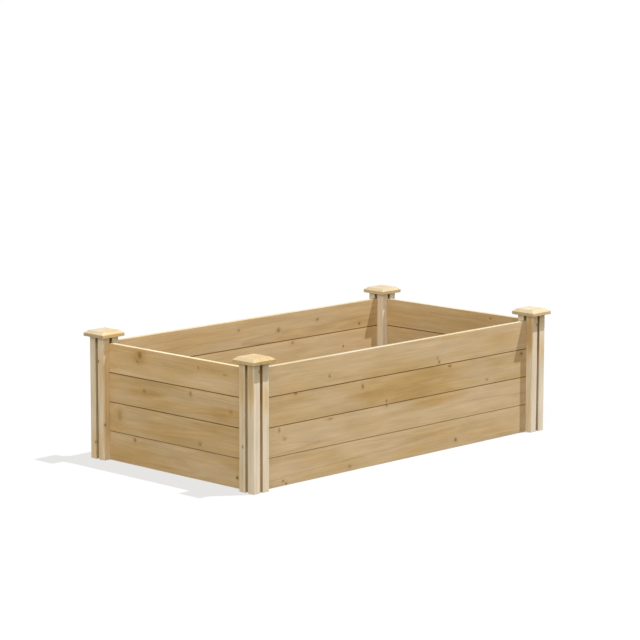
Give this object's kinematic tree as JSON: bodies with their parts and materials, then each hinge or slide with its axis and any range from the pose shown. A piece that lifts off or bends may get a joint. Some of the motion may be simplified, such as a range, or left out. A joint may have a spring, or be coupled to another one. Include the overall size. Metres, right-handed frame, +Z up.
{
  "type": "raised garden bed",
  "caption": "Rectangular raised garden bed of dovetailed wooden planks stacked between slotted corner posts with bevelled lift-off caps, open at the top and underneath.",
  "frame": {"origin": "on the ground at the centre of the bed", "axes": "+Z up; +X along the long sides, to the right seen from the front; -Y out of the front long side"},
  "size_m": [1.3064, 0.7304, 0.3915],
  "materials": {
    "post_wood": "planed, untreated pale softwood",
    "plank_wood": "planed, untreated softwood with small knots",
    "cap_wood": "planed, untreated pale softwood, edges bevelled",
    "dowel_wood": "turned, smooth"
  },
  "bodies": {
    "bed": {"post_front_left": "post_wood", "post_front_right": "post_wood", "post_back_left": "post_wood", "post_back_right": "post_wood", "plank_front_1": "plank_wood", "plank_front_2": "plank_wood", "plank_front_3": "plank_wood", "plank_back_1": "plank_wood", "plank_back_2": "plank_wood", "plank_back_3": "plank_wood", "plank_left_1": "plank_wood", "plank_left_2": "plank_wood", "plank_left_3": "plank_wood", "plank_right_1": "plank_wood", "plank_right_2": "plank_wood", "plank_right_3": "plank_wood"},
    "top_plank_front": {"plank_front_4": "plank_wood"},
    "top_plank_back": {"plank_back_4": "plank_wood"},
    "top_plank_left": {"plank_left_4": "plank_wood"},
    "top_plank_right": {"plank_right_4": "plank_wood"},
    "cap_front_left": {"cap_front_left": "cap_wood", "dowel_front_left": "dowel_wood"},
    "cap_front_right": {"cap_front_right": "cap_wood", "dowel_front_right": "dowel_wood"},
    "cap_back_left": {"cap_back_left": "cap_wood", "dowel_back_left": "dowel_wood"},
    "cap_back_right": {"cap_back_right": "cap_wood", "dowel_back_right": "dowel_wood"}
  },
  "joints": [
    {"name": "top_plank_front_lift", "type": "slide", "parent": "bed", "child": "top_plank_front", "axis": [0, 0, 1], "range_m": [0, 0.017]},
    {"name": "top_plank_back_lift", "type": "slide", "parent": "bed", "child": "top_plank_back", "axis": [0, 0, 1], "range_m": [0, 0.017]},
    {"name": "top_plank_left_lift", "type": "slide", "parent": "bed", "child": "top_plank_left", "axis": [0, 0, 1], "range_m": [0, 0.017]},
    {"name": "top_plank_right_lift", "type": "slide", "parent": "bed", "child": "top_plank_right", "axis": [0, 0, 1], "range_m": [0, 0.017]},
    {"name": "cap_front_left_lift", "type": "slide", "parent": "bed", "child": "cap_front_left", "axis": [0, 0, 1], "range_m": [0, 0.03]},
    {"name": "cap_front_right_lift", "type": "slide", "parent": "bed", "child": "cap_front_right", "axis": [0, 0, 1], "range_m": [0, 0.03]},
    {"name": "cap_back_left_lift", "type": "slide", "parent": "bed", "child": "cap_back_left", "axis": [0, 0, 1], "range_m": [0, 0.03]},
    {"name": "cap_back_right_lift", "type": "slide", "parent": "bed", "child": "cap_back_right", "axis": [0, 0, 1], "range_m": [0, 0.03]}
  ]
}
